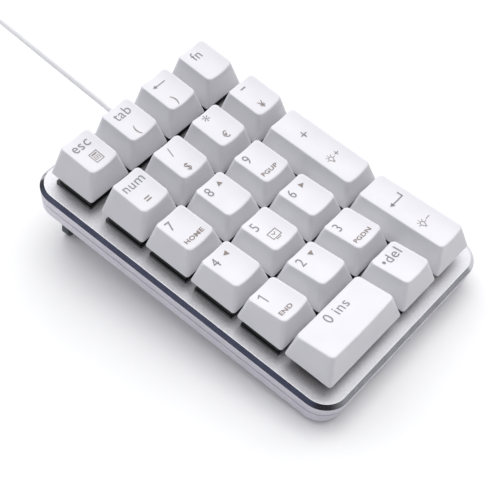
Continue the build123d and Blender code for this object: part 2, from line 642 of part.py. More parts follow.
base, contact_pins, cover, stem, spring = make_switch_parts()
pieces["switch_bases"] = []
pieces["switch_covers"] = []
pieces["switch_springs"] = []
pieces["stabiliser_housings"] = []
caps_made = {}
for key in KEYS:
    x, y = key.centre()
    place = Pos(x, y, 0)
    pieces["switch_bases"].append(place * base)
    pieces["switch_bases"] += [place * pin for pin in contact_pins]
    pieces["switch_covers"].append(place * cover)
    pieces["switch_springs"].append(place * spring)
    kind = (key.width, key.depth, key.front, key.back)
    if kind not in caps_made:
        caps_made[kind] = make_keycap(*kind)
    pieces["keycap_" + key.name] = [Pos(x, y, CAP_REST_Z) * caps_made[kind]]
    pieces["stem_" + key.name] = [place * stem]
    if key in DOUBLE_KEYS:
        frame = stabiliser_frame(key)
        for side in (-1, 1):
            seat = frame * Pos(side * STABILISER_REACH, 0, 0)
            pieces["stabiliser_housings"].append(seat * stabiliser_housing(side))
            pieces["stem_" + key.name].append(seat * stabiliser_slider())
        pieces["wire_" + key.name] = [frame * stabiliser_wire()]

# ---------------------------------------------------------------- stand it on its feet
tilted = {name: [Rot(TILT, 0, 0) * solid for solid in solids] for name, solids in pieces.items()}
boxes = [solid.bounding_box() for solids in tilted.values() for solid in solids]
centre_y = (min(box.min.Y for box in boxes) + max(box.max.Y for box in boxes)) / 2
lowest = min(box.min.Z for box in boxes)
stand = Pos(0, -centre_y, -lowest) * Rot(TILT, 0, 0)
standing = {name: [stand * solid for solid in solids] for name, solids in pieces.items()}
print("shift of the tilted case: y", round(-centre_y, 4), "z", round(-lowest, 4))

standing["strain_relief"] = [stand * make_strain_relief()]
tip_y = wall_y(CABLE_EXIT_Z) + RELIEF_GAP + RELIEF_LENGTH
tip = (stand * Pos(CABLE_EXIT_X, tip_y, CABLE_EXIT_Z)).position
print("strain relief tip", tip)
standing["usb_cable"] = [tube([tuple(tip)] + LEAD_ROUTE, CABLE_RADIUS),
                         tube(TAIL_ROUTE, CABLE_RADIUS)]
standing["cable_coil"] = [make_coil()]
standing["usb_plug"] = make_plug()

os.makedirs("parts", exist_ok=True)
for name, solids in standing.items():
    export_step(Compound(children=list(solids)), "parts/" + name + ".step")
print(len(standing), "nodes")
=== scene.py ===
import json
import math

import bmesh
import bpy
from mathutils import Matrix, Vector


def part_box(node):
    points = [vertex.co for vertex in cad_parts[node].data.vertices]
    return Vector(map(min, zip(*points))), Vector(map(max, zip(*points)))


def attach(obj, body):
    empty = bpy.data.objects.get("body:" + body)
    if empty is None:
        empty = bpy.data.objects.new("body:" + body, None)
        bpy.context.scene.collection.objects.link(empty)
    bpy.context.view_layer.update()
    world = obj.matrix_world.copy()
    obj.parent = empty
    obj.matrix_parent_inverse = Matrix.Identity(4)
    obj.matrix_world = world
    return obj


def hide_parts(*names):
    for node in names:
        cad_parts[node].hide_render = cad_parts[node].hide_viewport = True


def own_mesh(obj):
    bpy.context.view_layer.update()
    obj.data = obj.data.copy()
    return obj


# Numeric keypad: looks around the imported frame. Lengths written in millimetres are turned
# into metres by MM. The case frame is the keypad lying level: x to the right, y from the
# front of the key grid to the back, z = 0 on the plate's top face.

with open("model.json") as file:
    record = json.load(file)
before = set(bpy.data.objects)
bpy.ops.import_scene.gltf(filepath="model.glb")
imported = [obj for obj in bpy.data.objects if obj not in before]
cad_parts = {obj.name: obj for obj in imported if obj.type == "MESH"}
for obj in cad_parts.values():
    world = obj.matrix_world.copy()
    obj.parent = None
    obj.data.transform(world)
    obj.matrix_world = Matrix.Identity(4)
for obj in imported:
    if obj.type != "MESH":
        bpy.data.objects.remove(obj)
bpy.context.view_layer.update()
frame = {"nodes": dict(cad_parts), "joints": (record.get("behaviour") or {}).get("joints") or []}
MM = 0.001

# ---- the case frame, worked out from the joints
KEY_PITCH = 19.05
TOP_ROW_GAP = 2.9
GRID_WIDTH = 4 * KEY_PITCH
GRID_DEPTH = 6 * KEY_PITCH + TOP_ROW_GAP
FOOT_PIVOT = Vector((-29.8, 111.8, -10.6))      # left rear foot, case frame
joints = {joint["name"]: joint for joint in frame["joints"]}
press_axis = Vector(joints["press_5"]["axis"])
TILT = math.atan2(press_axis.y, -press_axis.z)
tilt_matrix = Matrix.Rotation(TILT, 4, "X")
pivot = Vector(joints["fold_foot_left"]["pos_m"])
case_origin = pivot - tilt_matrix.to_3x3() @ (FOOT_PIVOT * MM)
CASE = Matrix.Translation(case_origin) @ tilt_matrix @ Matrix.Scale(MM, 4)

# ---- keys: name, column from the left, row from the front, width and depth in key pitches,
# and the rows of ROW_PROFILES that shape the front and the back of the cap
KEYS = [
    ("esc", 0, 5, 1, 1, 0, 0), ("tab", 1, 5, 1, 1, 0, 0),
    ("backspace", 2, 5, 1, 1, 0, 0), ("fn", 3, 5, 1, 1, 0, 0),
    ("num", 0, 4, 1, 1, 1, 1), ("divide", 1, 4, 1, 1, 1, 1),
    ("multiply", 2, 4, 1, 1, 1, 1), ("minus", 3, 4, 1, 1, 1, 1),
    ("7", 0, 3, 1, 1, 2, 2), ("8", 1, 3, 1, 1, 2, 2), ("9", 2, 3, 1, 1, 2, 2),
    ("plus", 3, 2, 1, 2, 3, 2),
    ("4", 0, 2, 1, 1, 3, 3), ("5", 1, 2, 1, 1, 3, 3), ("6", 2, 2, 1, 1, 3, 3),
    ("1", 0, 1, 1, 1, 4, 4), ("2", 1, 1, 1, 1, 4, 4), ("3", 2, 1, 1, 1, 4, 4),
    ("enter", 3, 0, 1, 2, 5, 4),
    ("0", 0, 0, 2, 1, 5, 5), ("decimal", 2, 0, 1, 1, 5, 5),
]
# a cap's top, back row first: height at its front and back, inset at its front and back
ROW_PROFILES = [
    (10.3, 10.9, 3.0, 0.9),
    (10.6, 11.2, 2.9, 1.3),
    (8.9, 8.8, 3.0, 0.9),
    (9.0, 8.0, 2.8, 0.9),
    (9.8, 7.6, 3.1, 0.8),
    (10.1, 7.6, 3.2, 0.8),
]
CAP_SIZE = 18.1
CAP_REST_Z = 5.6
CAP_WALL = 1.4
CAP_SIDE_INSET = 2.95
CAP_BOTTOM_CORNER = 1.0
CAP_TOP_CORNER = 1.7
DISH_DEPTH = 0.9
WIDE_DISH_DEPTH = 0.5
CAP_EDGE = 0.55             # length of the rounding between a cap's sides and top


def key_centre(column, row, width, depth):
    """A key's middle in the case frame; the back row stands off by a gap."""
    gap = TOP_ROW_GAP if row == 5 else 0
    x = (column + width / 2) * KEY_PITCH - GRID_WIDTH / 2
    y = (row + depth / 2) * KEY_PITCH + gap
    return x, y


# ---------------------------------------------------------------- materials
MOTTLE_SCALE = 120                  # noise scales are in cells per metre
METAL_GRAIN_SCALE = 900
PLASTIC_GRAIN_DEPTH = 0.00002       # metres
METAL_GRAIN_DEPTH = 0.00003


def new_material(name):
    material = bpy.data.materials.new(name)
    material.use_nodes = True
    nodes = material.node_tree.nodes
    return material, nodes, material.node_tree.links, nodes["Principled BSDF"]


def noise_node(nodes, links, scale, stretch=(1, 1, 1), detail=3.0):
    """Noise over object coordinates, with its own stretch along each axis."""
    place = nodes.new("ShaderNodeTexCoord")
    mapping = nodes.new("ShaderNodeMapping")
    mapping.inputs["Scale"].default_value = stretch
    noise = nodes.new("ShaderNodeTexNoise")
    noise.inputs["Scale"].default_value = scale
    noise.inputs["Detail"].default_value = detail
    links.new(place.outputs["Object"], mapping.inputs["Vector"])
    links.new(mapping.outputs["Vector"], noise.inputs["Vector"])
    return noise


def ramp_colours(nodes, links, source, low, high, start=0.3, end=0.7):
    ramp = nodes.new("ShaderNodeValToRGB")
    ramp.color_ramp.elements[0].position = start
    ramp.color_ramp.elements[1].position = end
    ramp.color_ramp.elements[0].color = (*low, 1)
    ramp.color_ramp.elements[1].color = (*high, 1)
    links.new(source.outputs["Fac"], ramp.inputs["Fac"])
    return ramp


def add_bump(nodes, links, shader, source, strength, distance):
    bump = nodes.new("ShaderNodeBump")
    bump.inputs["Strength"].default_value = strength
    bump.inputs["Distance"].default_value = distance
    links.new(source.outputs["Fac"], bump.inputs["Height"])
    links.new(bump.outputs["Normal"], shader.inputs["Normal"])


def rough_range(nodes, links, shader, source, low, high):
    spread = nodes.new("ShaderNodeMapRange")
    spread.inputs["To Min"].default_value = low
    spread.inputs["To Max"].default_value = high
    links.new(source.outputs["Fac"], spread.inputs["Value"])
    links.new(spread.outputs["Result"], shader.inputs["Roughness"])


def plastic(name, low, high, rough_low, rough_high, grain=2600, bump=0.10, specular=0.5):
    """Moulded plastic: faint mottling, fine spark-eroded grain in bump and roughness."""
    material, nodes, links, shader = new_material(name)
    mottle = noise_node(nodes, links, MOTTLE_SCALE, detail=4)
    ramp = ramp_colours(nodes, links, mottle, low, high)
    links.new(ramp.outputs["Color"], shader.inputs["Base Color"])
    fine = noise_node(nodes, links, grain, detail=2)
    add_bump(nodes, links, shader, fine, bump, PLASTIC_GRAIN_DEPTH)
    rough_range(nodes, links, shader, fine, rough_low, rough_high)
    shader.inputs["Specular IOR Level"].default_value = specular
    return material


def metal(name, low, high, rough_low, rough_high, stretch, bump=0.12):
    """Bare metal with a fine grain, drawn out along an axis where its stretch is small."""
    material, nodes, links, shader = new_material(name)
    shader.inputs["Metallic"].default_value = 1.0
    grain = noise_node(nodes, links, METAL_GRAIN_SCALE, stretch, detail=6)
    ramp = ramp_colours(nodes, links, grain, low, high)
    links.new(ramp.outputs["Color"], shader.inputs["Base Color"])
    add_bump(nodes, links, shader, grain, bump, METAL_GRAIN_DEPTH)
    rough_range(nodes, links, shader, grain, rough_low, rough_high)
    return material


CAP_WHITE = plastic("keycap_plastic", (0.665, 0.66, 0.685), (0.695, 0.69, 0.712), 0.42, 0.52)
LEGEND_GREY = plastic("legend_grey", (0.19, 0.19, 0.20), (0.23, 0.23, 0.24), 0.45, 0.55)
LEGEND_BROWN = plastic("legend_brown", (0.20, 0.165, 0.15), (0.24, 0.20, 0.18), 0.45, 0.55)
PLATE_METAL = metal("satin_aluminium", (0.50, 0.495, 0.51), (0.60, 0.595, 0.615),
                    0.46, 0.64, (1.6, 1.6, 1.6), bump=0.2)
CHAMFER_METAL = metal("polished_chamfer", (0.50, 0.505, 0.535), (0.60, 0.605, 0.64),
                      0.12, 0.20, (0.2, 0.2, 0.2), bump=0.03)
SIDE_METAL = plastic("satin_side", (0.60, 0.58, 0.64), (0.66, 0.64, 0.70), 0.34, 0.46,
                     grain=3500, bump=0.16)
SIDE_METAL.node_tree.nodes["Principled BSDF"].inputs["Metallic"].default_value = 0.35
BLACK_PLASTIC = plastic("switch_plastic", (0.012, 0.012, 0.014), (0.022, 0.022, 0.024),
                        0.25, 0.38)
STEM_PLASTIC = plastic("stem_plastic", (0.16, 0.07, 0.03), (0.20, 0.09, 0.04), 0.28, 0.4)
FOOT_RUBBER = plastic("foot_rubber", (0.045, 0.058, 0.070), (0.060, 0.074, 0.088),
                      0.42, 0.6, grain=1800, bump=0.25)
PAD_RUBBER = plastic("pad_rubber", (0.02, 0.02, 0.022), (0.035, 0.035, 0.037),
                     0.6, 0.8, grain=1500, bump=0.3)
LEAD_PLASTIC = plastic("lead_jacket", (0.82, 0.82, 0.825), (0.87, 0.87, 0.872), 0.36, 0.48)
STEEL = metal("drawn_steel", (0.50, 0.50, 0.52), (0.64, 0.64, 0.66), 0.2, 0.32,
              (1.0, 1.0, 0.05))
BOARD = plastic("solder_mask", (0.008, 0.03, 0.016), (0.012, 0.05, 0.026), 0.25, 0.4)


# ---------------------------------------------------------------- mesh helpers
WELD_DISTANCE = 0.000002    # metres: closer corners of a CAD mesh become one
FLAT_ANGLE = 1.0            # degrees: faces that differ by less become one
HARD_ANGLE = 30             # degrees: sharper edges are rounded
SMOOTH_ANGLE = 40           # degrees: flatter edges are shaded smooth


def finish_object(name, bm, materials, body, matrix=None, smooth_angle=None):
    """Turns a bmesh into an object that rides on a body."""
    if matrix is not None:
        bmesh.ops.transform(bm, matrix=matrix, verts=bm.verts)
    mesh = bpy.data.meshes.new(name)
    bm.to_mesh(mesh)
    bm.free()
    for material in materials:
        mesh.materials.append(material)
    mesh.polygons.foreach_set("use_smooth", [True] * len(mesh.polygons))
    if smooth_angle is not None:
        mesh.set_sharp_from_angle(angle=math.radians(smooth_angle))
    piece = bpy.data.objects.new(name, mesh)
    bpy.context.scene.collection.objects.link(piece)
    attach(piece, body)
    return piece


def rounded_outline(width, depth, radius, centre_y=0.0, per_corner=8, per_side=6):
    """Points round a rectangle with arc corners, anticlockwise from the right side's back end."""
    points = []
    half_x = width / 2 - radius
    half_y = depth / 2 - radius
    corners = [(half_x, half_y, 0), (-half_x, half_y, 90),
               (-half_x, -half_y, 180), (half_x, -half_y, 270)]
    for index, (x, y, start) in enumerate(corners):
        arc = []
        for step in range(per_corner + 1):
            angle = math.radians(start + 90 * step / per_corner)
            arc.append((x + radius * math.cos(angle), y + radius * math.sin(angle)))
        points += arc
        next_x, next_y, next_start = corners[(index + 1) % 4]
        angle = math.radians(next_start)
        next_point = (next_x + radius * math.cos(angle), next_y + radius * math.sin(angle))
        for step in range(1, per_side):
            part = step / per_side
            points.append((arc[-1][0] + (next_point[0] - arc[-1][0]) * part,
                           arc[-1][1] + (next_point[1] - arc[-1][1]) * part))
    return [(x, y + centre_y) for x, y in points]


def bridge(bm, lower, upper, material=0):
    """Quads between two rings with the same number of points."""
    count = len(lower)
    for i in range(count):
        j = (i + 1) % count
        face = bm.faces.new((lower[i], lower[j], upper[j], upper[i]))
        face.material_index = material


def add_ring(bm, points):
    return [bm.verts.new(point) for point in points]


def refine(name, node, body, material, bevel, segments=3):
    """A CAD node's own shape with its hard edges rounded by a bevel in millimetres."""
    mesh = frame["nodes"][node].data.copy()
    mesh.materials.clear()
    bm = bmesh.new()
    bm.from_mesh(mesh)
    bmesh.ops.remove_doubles(bm, verts=bm.verts, dist=WELD_DISTANCE)
    bmesh.ops.dissolve_limit(bm, angle_limit=math.radians(FLAT_ANGLE), verts=bm.verts,
                             edges=bm.edges)
    edges = [edge for edge in bm.edges if len(edge.link_faces) == 2
             and edge.calc_face_angle(0) > math.radians(HARD_ANGLE)]
    bmesh.ops.bevel(bm, geom=edges, offset=bevel * MM, segments=segments, profile=0.5,
                    affect="EDGES", clamp_overlap=True)
    bpy.data.meshes.remove(mesh)
    piece = finish_object(name, bm, [material], body, smooth_angle=SMOOTH_ANGLE)
    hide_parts(node)
    return piece


# ---------------------------------------------------------------- camera
CAMERA_PLACE = (-0.24414, -0.18743, 0.36375)
CAMERA_AZIMUTH = -52.067    # degrees from looking along +Y, to the right
CAMERA_ELEVATION = 49.432   # degrees that it looks down
CAMERA_ROLL = 1.774
CAMERA_LENS = 100.7

camera_data = bpy.data.cameras.new("camera")
camera_data.lens = CAMERA_LENS
camera_data.sensor_width = 36.0
camera_data.clip_start = 0.01
camera_data.clip_end = 20.0
camera = bpy.data.objects.new("camera", camera_data)
bpy.context.scene.collection.objects.link(camera)
turn = Matrix.Rotation(math.radians(CAMERA_AZIMUTH), 4, "Z")
pitch = Matrix.Rotation(math.radians(90 - CAMERA_ELEVATION), 4, "X")
roll = Matrix.Rotation(math.radians(CAMERA_ROLL), 4, "Z")
camera.matrix_world = Matrix.Translation(CAMERA_PLACE) @ turn @ pitch @ roll
bpy.context.scene.camera = camera


# ---------------------------------------------------------------- USB lead
LEAD_DIAMETER = 3.3
LEAD_START = (5.4, 68.328, 22.017)
LEAD_ROUTE = [(6.7, 97.5, 26.0), (18.2, 150.0, 19.0), (28.0, 182.0, 6.8),
              (37.0, 206.0, 1.8), (40.0, 222.0, 1.8)]
TAIL_ROUTE = [(4.0, 247.2, 8.6), (-4.0, 247.1, 4.9), (-11.0, 247.0, 4.0)]
COIL_CENTRE = (15.0, 222.0)
COIL_OUTER = 25.0
COIL_INNER = 12.6
COIL_STOPS = [0, 3.75, 7.5, 8.875, 10.25]       # turns at which a layer ends
COIL_PITCH = (COIL_OUTER - COIL_INNER) / COIL_STOPS[1]
LAYER_HEIGHT = LEAD_DIAMETER * 0.985            # turns settle a little into those below
LAYER_RISE = 0.3                                # turns over which the lead climbs a layer
FLOOR_CLEARANCE = 0.1
POINTS_PER_TURN = 24


def coil_radius(turns):
    """Inward on the first and third layers, outward on the second and fourth."""
    if turns <= COIL_STOPS[1]:
        return COIL_OUTER - COIL_PITCH * turns
    if turns <= COIL_STOPS[2]:
        return COIL_INNER + COIL_PITCH * (turns - COIL_STOPS[1])
    if turns <= COIL_STOPS[3]:
        return COIL_OUTER - COIL_PITCH * (turns - COIL_STOPS[2])
    return COIL_OUTER - COIL_PITCH * (COIL_STOPS[4] - turns)


def coil_height(turns):
    """Each layer lies on the one below, with a short rise between them."""
    height = LEAD_DIAMETER / 2 + FLOOR_CLEARANCE
    for stop in COIL_STOPS[1:4]:
        part = min(max((turns - stop) / LAYER_RISE + 0.5, 0), 1)
        height += LAYER_HEIGHT * part * part * (3 - 2 * part)
    return height


def coil_points():
    """The coil's turns, as places along the lead."""
    points = []
    for step in range(1, int(COIL_STOPS[4] * POINTS_PER_TURN) + 1):
        turns = step / POINTS_PER_TURN
        angle = 2 * math.pi * turns
        radius = coil_radius(turns)
        points.append((COIL_CENTRE[0] + radius * math.cos(angle),
                       COIL_CENTRE[1] + radius * math.sin(angle), coil_height(turns)))
    return points


def make_lead():
    """The lead from the strain relief through the coil to the plug."""
    route = [LEAD_START] + LEAD_ROUTE + coil_points() + TAIL_ROUTE
    curve = bpy.data.curves.new("usb_lead", "CURVE")
    curve.dimensions = "3D"
    curve.bevel_depth = LEAD_DIAMETER / 2 * MM
    curve.bevel_resolution = 6
    curve.resolution_u = 8
    curve.use_fill_caps = True
    spline = curve.splines.new("NURBS")
    spline.points.add(len(route) - 1)
    for point, place in zip(spline.points, route):
        point.co = (place[0] * MM, place[1] * MM, place[2] * MM, 1)
    spline.order_u = 3
    spline.use_endpoint_u = True
    lead = bpy.data.objects.new("usb_lead", curve)
    curve.materials.append(LEAD_PLASTIC)
    bpy.context.scene.collection.objects.link(lead)
    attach(lead, "root")
    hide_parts("usb_cable", "cable_coil")
    return lead


PLUG_SHELL_LENGTH = 12.0
PLUG_MIDDLE = (0.247, 0.0049)       # y and z of the plug's axis, in metres
TONGUE_REACH = (0.0054, 0.0011)     # how far the tongue reaches from it, in metres
SHELL_MARGIN = 0.0001               # metres


def make_plug():
    """The overmoulded plug: jacket, metal shell and contact tongue."""
    plug = refine("usb_plug_detailed", "usb_plug", "root", LEAD_PLASTIC, 0.12, segments=2)
    plug.data.materials.append(STEEL)
    plug.data.materials.append(BLACK_PLASTIC)
    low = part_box("usb_plug")[0]
    shell_end = low.x + PLUG_SHELL_LENGTH * MM
    for face in plug.data.polygons:
        if face.center.x < shell_end - SHELL_MARGIN:
            aside = abs(face.center.y - PLUG_MIDDLE[0])
            above = abs(face.center.z - PLUG_MIDDLE[1])
            on_tongue = aside < TONGUE_REACH[0] and above < TONGUE_REACH[1]
            face.material_index = 2 if on_tongue else 1
    return plug


lead = make_lead()
plug = make_plug()
relief = refine("strain_relief_boot", "strain_relief", "root", LEAD_PLASTIC, 0.15)


# ---------------------------------------------------------------- keycaps
DISH_RIM = 0.2              # flat edge left and right of a cap's dish
INNER_TOP_Z = 5.5           # the hollow's ceiling, which is never seen
INNER_TOP_SHARE = (0.55, 0.6)
SKIRT_LIP_SHARE = 0.93      # how far out across the skirt's lower edge a ring lies
SIDE_SHARES = (0.008, 0.03, 0.3, 0.6)       # how far up a side each of its rings lies
EDGE_STEPS = 4                              # steps round the edge between side and top
# how far out from the top's middle each of its rings lies
TOP_SHARES = (0.93, 0.85, 0.75, 0.64, 0.52, 0.40, 0.28, 0.16, 0.06)


class Cap:
    """One keycap's shape in its own frame: z = 0 at the skirt's edge, key centre at 0, 0."""

    def __init__(self, width, depth, front, back):
        self.size_x = CAP_SIZE + (width - 1) * KEY_PITCH
        self.size_y = CAP_SIZE + (depth - 1) * KEY_PITCH
        self.front_z = ROW_PROFILES[front][0]
        self.back_z = ROW_PROFILES[back][1]
        self.y_front = -self.size_y / 2 + ROW_PROFILES[front][2]
        self.y_back = self.size_y / 2 - ROW_PROFILES[back][3]
        self.middle_y = (self.y_front + self.y_back) / 2
        self.middle_z = (self.front_z + self.back_z) / 2
        self.slope = (self.back_z - self.front_z) / (self.y_back - self.y_front)
        self.top_x = self.size_x - 2 * CAP_SIDE_INSET
        self.dish_depth = DISH_DEPTH if width == 1 else WIDE_DISH_DEPTH
        self.chord = self.top_x / 2 - DISH_RIM
        self.dish_radius = (self.chord ** 2 + self.dish_depth ** 2) / (2 * self.dish_depth)

    def plane_z(self, y):
        """Height of the sloping top before it is dished."""
        return self.middle_z + (y - self.middle_y) * self.slope

    def top_z(self, x, y):
        """Height of the dished top, a round trough from front to back."""
        reach = min(abs(x), self.chord)
        fall = self.dish_depth - self.dish_radius + math.sqrt(self.dish_radius ** 2 - reach ** 2)
        return self.plane_z(y) - max(fall, 0)

    def slants(self):
        """Pairs of points, at the skirt's foot and where that side meets the dished top."""
        sides = dict(per_corner=8, per_side=10)
        bottom = rounded_outline(self.size_x, self.size_y, CAP_BOTTOM_CORNER, **sides)
        top = rounded_outline(self.top_x, self.y_back - self.y_front, CAP_TOP_CORNER,
                              self.middle_y, **sides)
        pairs = []
        for (bx, by), (tx, ty) in zip(bottom, top):
            foot = Vector((bx, by, 0))
            head = Vector((tx, ty, self.plane_z(ty)))
            part = 1.0
            for unused in range(6):
                place = foot.lerp(head, part)
                part *= self.top_z(place.x, place.y) / max(place.z, 0.1)
            pairs.append((foot, foot.lerp(head, part)))
        return pairs

    def hollow_rings(self, skirt):
        """The inside of the skirt, from its ceiling down to the skirt's lower edge."""
        wide, deep = INNER_TOP_SHARE
        ceiling = [Vector((p.x * wide, (p.y - self.middle_y) * deep + self.middle_y, INNER_TOP_Z))
                   for p in skirt]
        low = [Vector((p.x * (1 - 2 * CAP_WALL / self.size_x),
                       p.y * (1 - 2 * CAP_WALL / self.size_y), 0)) for p in skirt]
        lip = [p.lerp(q, SKIRT_LIP_SHARE) for p, q in zip(low, skirt)]
        return [ceiling, low, lip]

    def rim_point(self, head):
        """Where the rounded edge beside head runs out on the dished top."""
        scale_y = 1 - CAP_EDGE / ((self.y_back - self.y_front) / 2)
        inset_x = max(abs(head.x) - CAP_EDGE, 0) * (1 if head.x > 0 else -1)
        offset = Vector((inset_x, head.y - self.middle_y, 0))
        y = self.middle_y + offset.y * scale_y
        return Vector((offset.x, y, self.top_z(offset.x, y)))

    def rings(self):
        """Outline rings from the inside of the skirt, over the edge, to the middle."""
        pairs = self.slants()
        rings = self.hollow_rings([foot for foot, head in pairs])
        for part in SIDE_SHARES:
            rings.append([foot.lerp(head, part) for foot, head in pairs])
        heads = [head for foot, head in pairs]
        starts = [head + (foot - head).normalized() * CAP_EDGE for foot, head in pairs]
        ends = [self.rim_point(head) for head in heads]
        for step in range(EDGE_STEPS + 1):
            t = step / EDGE_STEPS
            rings.append([start * (1 - t) ** 2 + head * (2 * t * (1 - t)) + end * t ** 2
                          for start, head, end in zip(starts, heads, ends)])
        for part in TOP_SHARES:
            ring = []
            for end in ends:
                x = end.x * part
                y = self.middle_y + (end.y - self.middle_y) * part
                ring.append(Vector((x, y, self.top_z(x, y))))
            rings.append(ring)
        return rings

    def build(self, name, body, matrix):
        bm = bmesh.new()
        rings = [add_ring(bm, ring) for ring in self.rings()]
        for lower, upper in zip(rings, rings[1:]):
            bridge(bm, lower, upper)
        bm.faces.new(rings[-1])
        bm.faces.new(list(reversed(rings[0])))
        bmesh.ops.recalc_face_normals(bm, faces=bm.faces)
        return finish_object(name, bm, [CAP_WHITE], body, matrix, smooth_angle=60)


# ---------------------------------------------------------------- legends
LEGEND_LIFT = 0.07          # height above the cap, so that the two never share a face
LEGEND_CUT = 0.45           # letters are cut this fine, to follow the dish
LETTER_SPACING = 1.08
BACK_MARGIN = 1.6           # from a top's back edge to the main mark
LETTER_HEIGHT = 3.6
TALL_CAP_DROP = 6.6         # how much nearer the front the marks of + and enter stand
FRONT_MARGIN = 2.3          # from a top's front edge to the second mark
FINE_LINE = 0.26
ICON_LINE = 0.28


def text_mesh(bm, text, size, x, y, slot_index, stretch=1.0, swell=0.0):
    """Adds flat letters, left-aligned at x with their foot at y."""
    curve = bpy.data.curves.new("letters", "FONT")
    curve.body = text
    curve.size = size
    curve.offset = swell * size
    curve.space_character = LETTER_SPACING
    curve.resolution_u = 6
    letters = bpy.data.objects.new("letters", curve)
    bpy.context.scene.collection.objects.link(letters)
    bpy.context.view_layer.update()
    mesh = bpy.data.meshes.new_from_object(letters)
    bpy.data.objects.remove(letters)
    part = bmesh.new()
    part.from_mesh(mesh)
    bmesh.ops.scale(part, vec=(stretch, 1, 1), verts=part.verts)
    bmesh.ops.translate(part, vec=(x, y, 0), verts=part.verts)
    for face in part.faces:
        face.material_index = slot_index
    part.to_mesh(mesh)
    part.free()
    bm.from_mesh(mesh)
    bpy.data.meshes.remove(mesh)


def polygon(bm, points, slot_index):
    """A flat face in the legend's plane, turned to look up."""
    face = bm.faces.new([bm.verts.new((x, y, 0)) for x, y in points])
    if face.normal.z < 0:
        face.normal_flip()
    face.material_index = slot_index


def stroke(bm, points, width, slot_index, closed=False):
    """A line of constant width along points, with square joints."""
    pairs = list(zip(points, points[1:]))
    if closed:
        pairs.append((points[-1], points[0]))
    for (x0, y0), (x1, y1) in pairs:
        length = math.hypot(x1 - x0, y1 - y0)
        along = ((x1 - x0) / length * width / 2, (y1 - y0) / length * width / 2)
        side = (-along[1], along[0])
        polygon(bm, [(x0 - along[0] + side[0], y0 - along[1] + side[1]),
                     (x0 - along[0] - side[0], y0 - along[1] - side[1]),
                     (x1 + along[0] - side[0], y1 + along[1] - side[1]),
                     (x1 + along[0] + side[0], y1 + along[1] + side[1])], slot_index)


def circle_points(x, y, radius, start=0, end=360, count=16):
    return [(x + radius * math.cos(math.radians(start + (end - start) * i / count)),
             y + radius * math.sin(math.radians(start + (end - start) * i / count)))
            for i in range(count + 1)]


def bulb_icon(bm, x, y, sign):
    """A small lamp with a plus or minus beside it, for the brightness of the lights."""
    stroke(bm, circle_points(x, y, 0.85, -60, 240), FINE_LINE, 1)
    stroke(bm, [(x - 0.4, y - 1.1), (x + 0.4, y - 1.1)], FINE_LINE, 1)
    stroke(bm, [(x - 0.25, y - 1.5), (x + 0.25, y - 1.5)], FINE_LINE, 1)
    for angle in (0, 45, 90, 135, 180):
        cosine = math.cos(math.radians(angle))
        sine = math.sin(math.radians(angle))
        stroke(bm, [(x + 1.3 * cosine, y + 1.3 * sine),
                    (x + 1.8 * cosine, y + 1.8 * sine)], 0.24, 1)
    stroke(bm, [(x + 2.5, y + 0.4), (x + 4.0, y + 0.4)], ICON_LINE, 1)
    if sign == "+":
        stroke(bm, [(x + 3.25, y - 0.35), (x + 3.25, y + 1.15)], ICON_LINE, 1)


def calculator_icon(bm, x, y):
    """A small pad with a display and three rows of marks."""
    stroke(bm, [(x - 1.6, y - 1.9), (x + 1.6, y - 1.9), (x + 1.6, y + 1.9), (x - 1.6, y + 1.9)],
           FINE_LINE, 1, closed=True)
    stroke(bm, [(x - 0.8, y + 1.1), (x + 0.8, y + 1.1)], 0.5, 1)
    for row in range(3):
        for column in range(3):
            stroke(bm, [(x - 1.0 + column * 0.85, y + 0.2 - row * 0.6),
                        (x - 0.7 + column * 0.85, y + 0.2 - row * 0.6)], ICON_LINE, 1)


def screen_icon(bm, x, y):
    """A small display on a foot."""
    stroke(bm, [(x - 1.9, y - 1.2), (x + 1.9, y - 1.2), (x + 1.9, y + 1.6), (x - 1.9, y + 1.6)],
           ICON_LINE, 1, closed=True)
    stroke(bm, [(x - 0.9, y - 1.8), (x + 0.9, y - 1.8)], ICON_LINE, 1)
    stroke(bm, [(x - 0.7, y + 0.7), (x, y), (x + 0.7, y + 0.7)], FINE_LINE, 1)


def arrow_mark(bm, x, y, size, turn):
    """A filled triangle that points up, or is turned by some degrees."""
    points = []
    for angle in (90, 210, 330):
        a = math.radians(angle + turn)
        points.append((x + size * math.cos(a), y + size * math.sin(a)))
    polygon(bm, points, 1)


def back_arrow(bm, x, y, length):
    stroke(bm, [(x + length, y), (x + 1.0, y)], 0.36, 0)
    polygon(bm, [(x, y), (x + 1.5, y + 0.75), (x + 1.5, y - 0.75)], 0)


def return_arrow(bm, x, y):
    stroke(bm, [(x + 6.6, y + 1.8), (x + 6.6, y), (x + 1.2, y)], 0.46, 0)
    polygon(bm, [(x, y), (x + 1.8, y + 0.9), (x + 1.8, y - 0.9)], 0)


